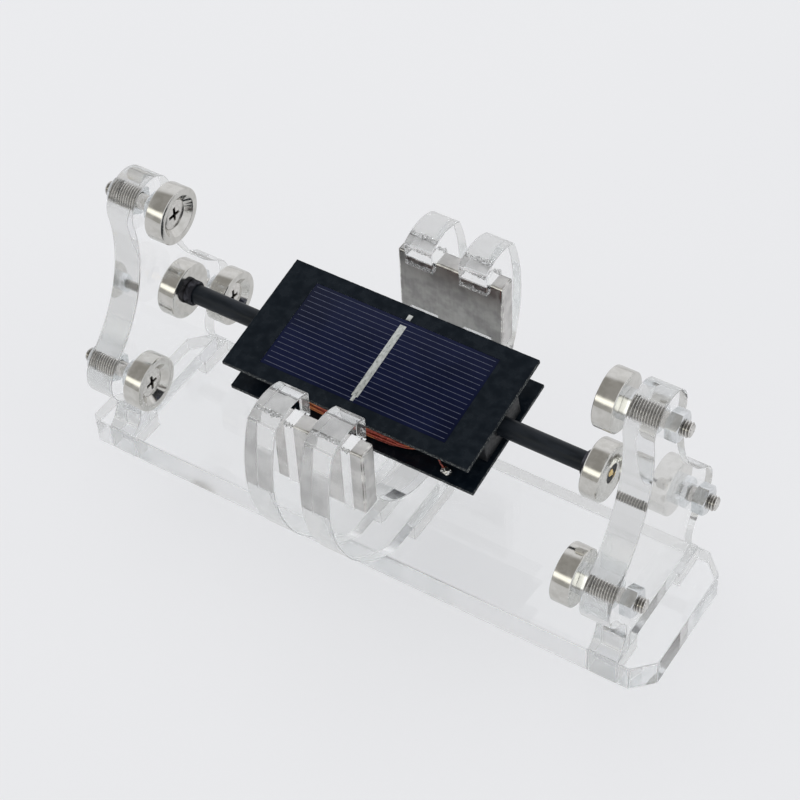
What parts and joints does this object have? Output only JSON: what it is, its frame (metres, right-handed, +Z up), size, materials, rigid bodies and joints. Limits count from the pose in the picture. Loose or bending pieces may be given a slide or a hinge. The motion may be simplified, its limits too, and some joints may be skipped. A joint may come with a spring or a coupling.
{
  "type": "demonstration electric motor",
  "caption": "Clear stand-mounted demonstration motor whose solar-panel rotor floats on ring magnets and turns between two block magnets.",
  "frame": {"origin": "middle of the base's underside, on the surface it stands on", "axes": "+X along the base and the rotor's axis, towards the end away from the pivot point; +Y to the rear; +Z up"},
  "size_m": [0.165, 0.087, 0.0807],
  "materials": {
    "clear_acrylic": "polished clear sheet with satin sawn edges",
    "ring_nickel": "polished nickel plate",
    "block_nickel": "satin nickel plate, lightly scratched",
    "screw_steel": "polished steel",
    "nut_zinc": "bluish zinc plate",
    "black_tube": "satin black",
    "pin_brass": "turned and polished",
    "black_rubber": "matt",
    "black_block": "matt",
    "panel_black": "glossy black laminate",
    "cell_blue": "dark navy cell under clear resin",
    "bus_silver": "matt silver print",
    "solder": "bright solder",
    "former_black": "matt",
    "enamelled_wire": "red-orange enamel on copper"
  },
  "bodies": {
    "stand": {"base_plate": "clear_acrylic", "front_block_magnet": "block_nickel", "left_cradle_plate": "clear_acrylic", "left_front_inner_nut": "nut_zinc", "left_front_magnet": "ring_nickel", "left_front_outer_nut": "nut_zinc", "left_front_screw": "screw_steel", "left_rear_inner_nut": "nut_zinc", "left_rear_magnet": "ring_nickel", "left_rear_outer_nut": "nut_zinc", "left_rear_screw": "screw_steel", "left_stand": "clear_acrylic", "left_top_inner_nut": "nut_zinc", "left_top_magnet": "ring_nickel", "left_top_outer_nut": "nut_zinc", "left_top_screw": "screw_steel", "rear_block_magnet": "block_nickel", "right_cradle_plate": "clear_acrylic", "right_front_inner_nut": "nut_zinc", "right_front_magnet": "ring_nickel", "right_front_outer_nut": "nut_zinc", "right_front_screw": "screw_steel", "right_rear_inner_nut": "nut_zinc", "right_rear_magnet": "ring_nickel", "right_rear_outer_nut": "nut_zinc", "right_rear_screw": "screw_steel", "right_stand": "clear_acrylic", "right_top_inner_nut": "nut_zinc", "right_top_magnet": "ring_nickel", "right_top_outer_nut": "nut_zinc", "right_top_screw": "screw_steel"},
    "rotor": {"coil_core": "enamelled_wire", "coil_former": "former_black", "coil_winding": "enamelled_wire", "left_collar": "black_rubber", "left_half_shaft": "black_tube", "left_pivot_pin": "pin_brass", "left_rotor_block": "black_block", "left_rotor_magnet": "ring_nickel", "lower_bus_bar": "bus_silver", "lower_panel_board": "panel_black", "lower_solar_cell": "cell_blue", "lower_solder_joint": "solder", "right_collar": "black_rubber", "right_half_shaft": "black_tube", "right_pivot_pin": "pin_brass", "right_rotor_block": "black_block", "right_rotor_magnet": "ring_nickel", "upper_bus_bar": "bus_silver", "upper_panel_board": "panel_black", "upper_solar_cell": "cell_blue", "upper_solder_joint": "solder"}
  },
  "joints": [
    {"name": "rotor_spin", "type": "hinge", "parent": "stand", "child": "rotor", "pos_m": [0, 0, 0.0477], "axis": [1, 0, 0], "continuous": true}
  ]
}
